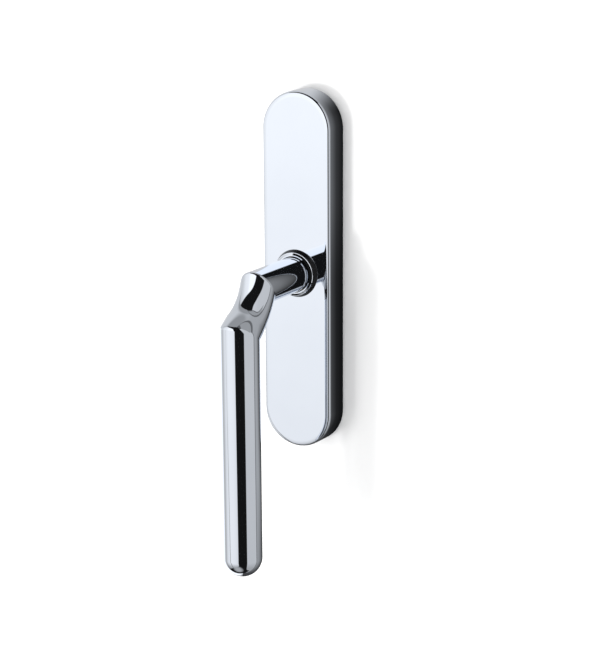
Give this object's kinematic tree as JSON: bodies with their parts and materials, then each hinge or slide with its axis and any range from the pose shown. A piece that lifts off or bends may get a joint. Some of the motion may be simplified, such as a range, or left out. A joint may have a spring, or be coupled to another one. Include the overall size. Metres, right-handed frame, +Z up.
{
  "type": "casement window fastener",
  "caption": "Cremone-type casement window fastener: lever on a long rounded cover plate, with a pinion and opposed racks driving pins behind it.",
  "frame": {"origin": "on the mounting face, where the lever's turning axis meets it", "axes": "+Z up along the plate, +X to the right seen from the room, -Y out of the mounting face towards the room"},
  "size_m": [0.0352, 0.0921, 0.2133],
  "materials": {
    "chrome": "polished chrome plate",
    "chrome_lever": "polished chrome plate",
    "die_cast_zinc": "as-cast zinc alloy",
    "plated_steel": "bright zinc plate",
    "spring_steel": "hardened and oiled",
    "gear_steel": "machined and greased",
    "bush_brass": "turned",
    "bearing_polymer": "natural acetal"
  },
  "bodies": {
    "housing": {"cover": "chrome", "collar": "chrome", "chassis": "die_cast_zinc", "rear_plate": "plated_steel", "plate_screws": "plated_steel", "fixing_screws": "plated_steel", "bearing_bush": "bush_brass", "thrust_washer": "bearing_polymer", "cover_clips": "spring_steel", "guide_strip_left": "bearing_polymer", "guide_strip_right": "bearing_polymer", "detent_spring_left": "spring_steel", "detent_spring_right": "spring_steel"},
    "handle": {"lever": "chrome_lever", "spindle": "plated_steel", "grub_screw": "spring_steel", "pinion": "gear_steel", "detent_cam": "gear_steel", "spring_washer": "spring_steel", "retaining_ring": "spring_steel"},
    "rack_upper": {"rack_upper": "die_cast_zinc", "drive_pin_upper": "plated_steel"},
    "rack_lower": {"rack_lower": "die_cast_zinc", "drive_pin_lower": "plated_steel"}
  },
  "joints": [
    {"name": "handle_turn", "type": "hinge", "parent": "housing", "child": "handle", "pos_m": [0, 0, 0], "axis": [0, 1, 0], "range_deg": [0, 90], "deforming": ["detent_spring_left", "detent_spring_right"]},
    {"name": "rack_upper_slide", "type": "slide", "parent": "housing", "child": "rack_upper", "axis": [0, 0, -1], "range_m": [0, 0.0138]},
    {"name": "rack_lower_slide", "type": "slide", "parent": "housing", "child": "rack_lower", "axis": [0, 0, 1], "range_m": [0, 0.0138]}
  ],
  "couplings": [
    {"joint": "rack_upper_slide", "follows": "handle_turn", "m_per_rad": 0.00875},
    {"joint": "rack_lower_slide", "follows": "handle_turn", "m_per_rad": 0.00875}
  ]
}
